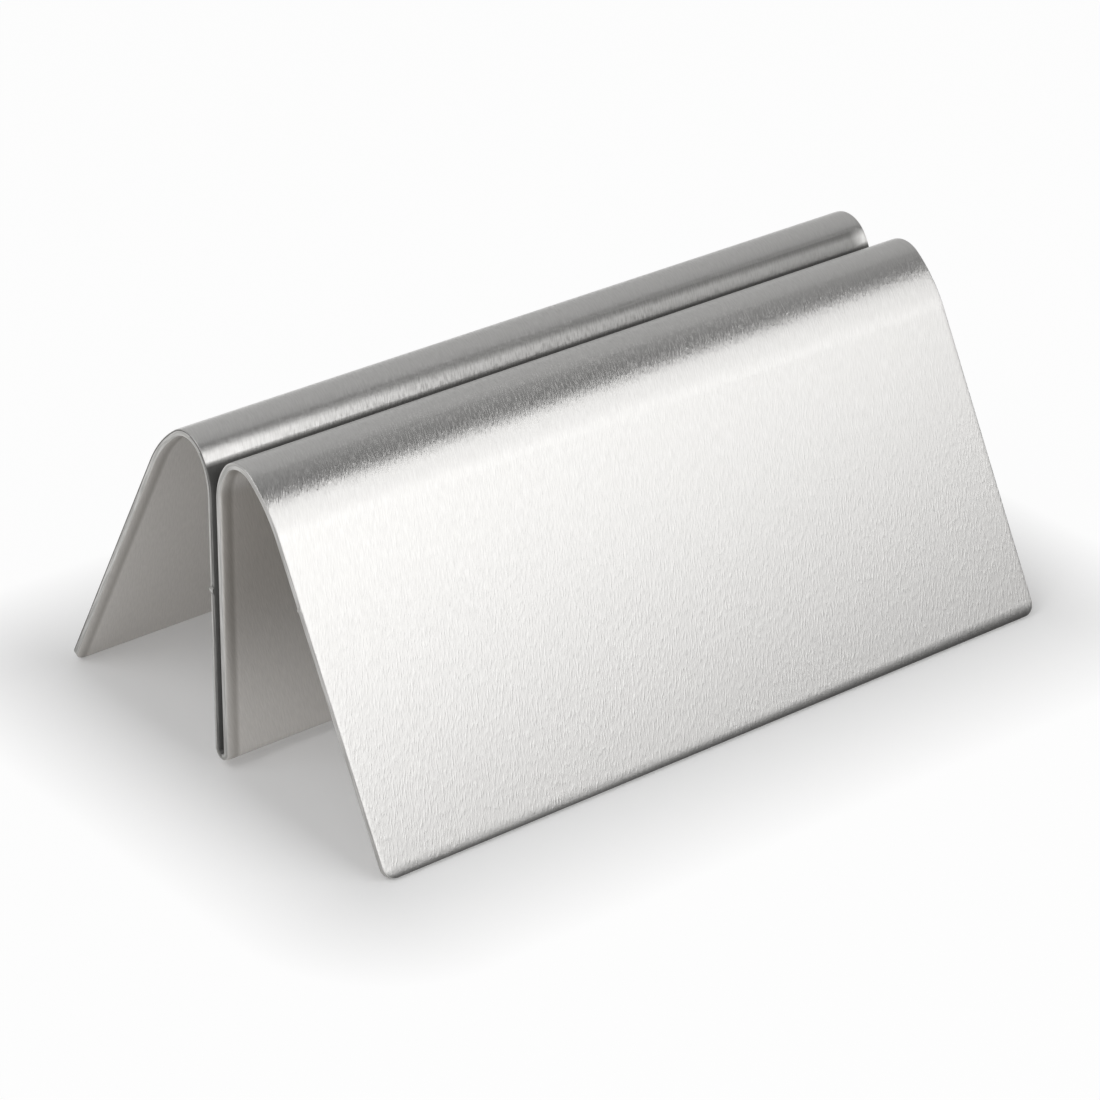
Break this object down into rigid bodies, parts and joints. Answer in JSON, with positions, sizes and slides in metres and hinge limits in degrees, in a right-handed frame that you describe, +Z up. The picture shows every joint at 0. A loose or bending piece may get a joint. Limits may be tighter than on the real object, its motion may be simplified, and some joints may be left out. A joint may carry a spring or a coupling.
{
  "type": "place card holder",
  "caption": "Folded sheet-steel place card holder with two rounded ridges, a springy card slot between them and a leaning leg on each side.",
  "frame": {"origin": "on the table, under the middle of the card slot", "axes": "+X along the ridges and the slot, -Y to the front leg, +Z up"},
  "size_m": [0.075, 0.0478, 0.031],
  "materials": {
    "brushed_steel": "brushed across the strip, over the ridges and down the legs, with softened cut edges"
  },
  "bodies": {
    "front_half": {"front_leg": "brushed_steel", "front_ridge": "brushed_steel", "front_slot_wall": "brushed_steel", "front_fold": "brushed_steel"},
    "rear_half": {"rear_fold": "brushed_steel", "rear_slot_wall": "brushed_steel", "rear_ridge": "brushed_steel", "rear_leg": "brushed_steel"}
  },
  "joints": [
    {"name": "slot_flex", "type": "hinge", "parent": "front_half", "child": "rear_half", "pos_m": [0, 0, 0.0017], "axis": [-1, 0, 0], "range_deg": [0, 2], "stiffness_Nm_per_rad": 20}
  ]
}
